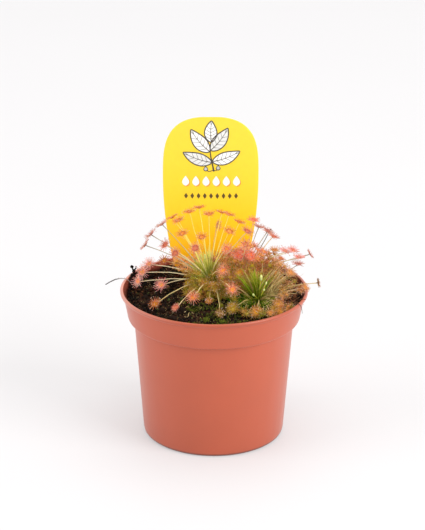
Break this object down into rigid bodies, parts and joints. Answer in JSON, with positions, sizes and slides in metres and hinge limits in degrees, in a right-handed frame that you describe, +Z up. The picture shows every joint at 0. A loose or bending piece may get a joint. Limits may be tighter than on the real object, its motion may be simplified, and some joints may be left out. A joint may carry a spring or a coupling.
{
  "type": "potted sundew",
  "caption": "Potted sundew: rosettes of long-stalked leaves with round sticky traps, in a round tapered nursery pot of peat with a stick-in plant label.",
  "frame": {"origin": "centre of the pot's underside, on the centre pad it stands on", "axes": "+Z up along the pot's axis, -Y the front that the label faces, +X to the right seen from the front"},
  "size_m": [0.1028, 0.09, 0.1477],
  "materials": {
    "pot_plastic": "satin",
    "peat": "matte",
    "label_plastic": "satin",
    "leaf": "satin",
    "crown": "matte",
    "moss": "matte",
    "root": "matte"
  },
  "bodies": {
    "root": {"pot": "pot_plastic", "peat": "peat", "plant_label": "label_plastic", "left_crown": "crown", "middle_crown": "crown", "right_crown": "crown", "moss_patch": "moss", "root_fibre": "root", "left_leaf_01": "leaf", "left_leaf_02": "leaf", "left_leaf_03": "leaf", "left_leaf_04": "leaf", "left_leaf_05": "leaf", "left_leaf_06": "leaf", "left_leaf_07": "leaf", "left_leaf_08": "leaf", "left_leaf_09": "leaf", "left_leaf_10": "leaf", "left_leaf_11": "leaf", "left_leaf_12": "leaf", "left_leaf_13": "leaf", "left_leaf_14": "leaf", "left_leaf_15": "leaf", "left_leaf_16": "leaf", "left_leaf_17": "leaf", "left_leaf_18": "leaf", "left_leaf_19": "leaf", "left_leaf_20": "leaf", "left_leaf_21": "leaf", "left_leaf_22": "leaf", "left_leaf_23": "leaf", "left_leaf_24": "leaf", "left_leaf_25": "leaf", "left_leaf_26": "leaf", "left_leaf_27": "leaf", "left_leaf_28": "leaf", "left_leaf_29": "leaf", "left_leaf_30": "leaf", "middle_leaf_01": "leaf", "middle_leaf_02": "leaf", "middle_leaf_03": "leaf", "middle_leaf_04": "leaf", "middle_leaf_05": "leaf", "middle_leaf_06": "leaf", "middle_leaf_07": "leaf", "middle_leaf_08": "leaf", "middle_leaf_09": "leaf", "middle_leaf_10": "leaf", "middle_leaf_11": "leaf", "middle_leaf_12": "leaf", "middle_leaf_13": "leaf", "right_leaf_01": "leaf", "right_leaf_02": "leaf", "right_leaf_03": "leaf", "right_leaf_04": "leaf", "right_leaf_05": "leaf", "right_leaf_06": "leaf", "right_leaf_07": "leaf", "right_leaf_08": "leaf"}
  },
  "joints": []
}
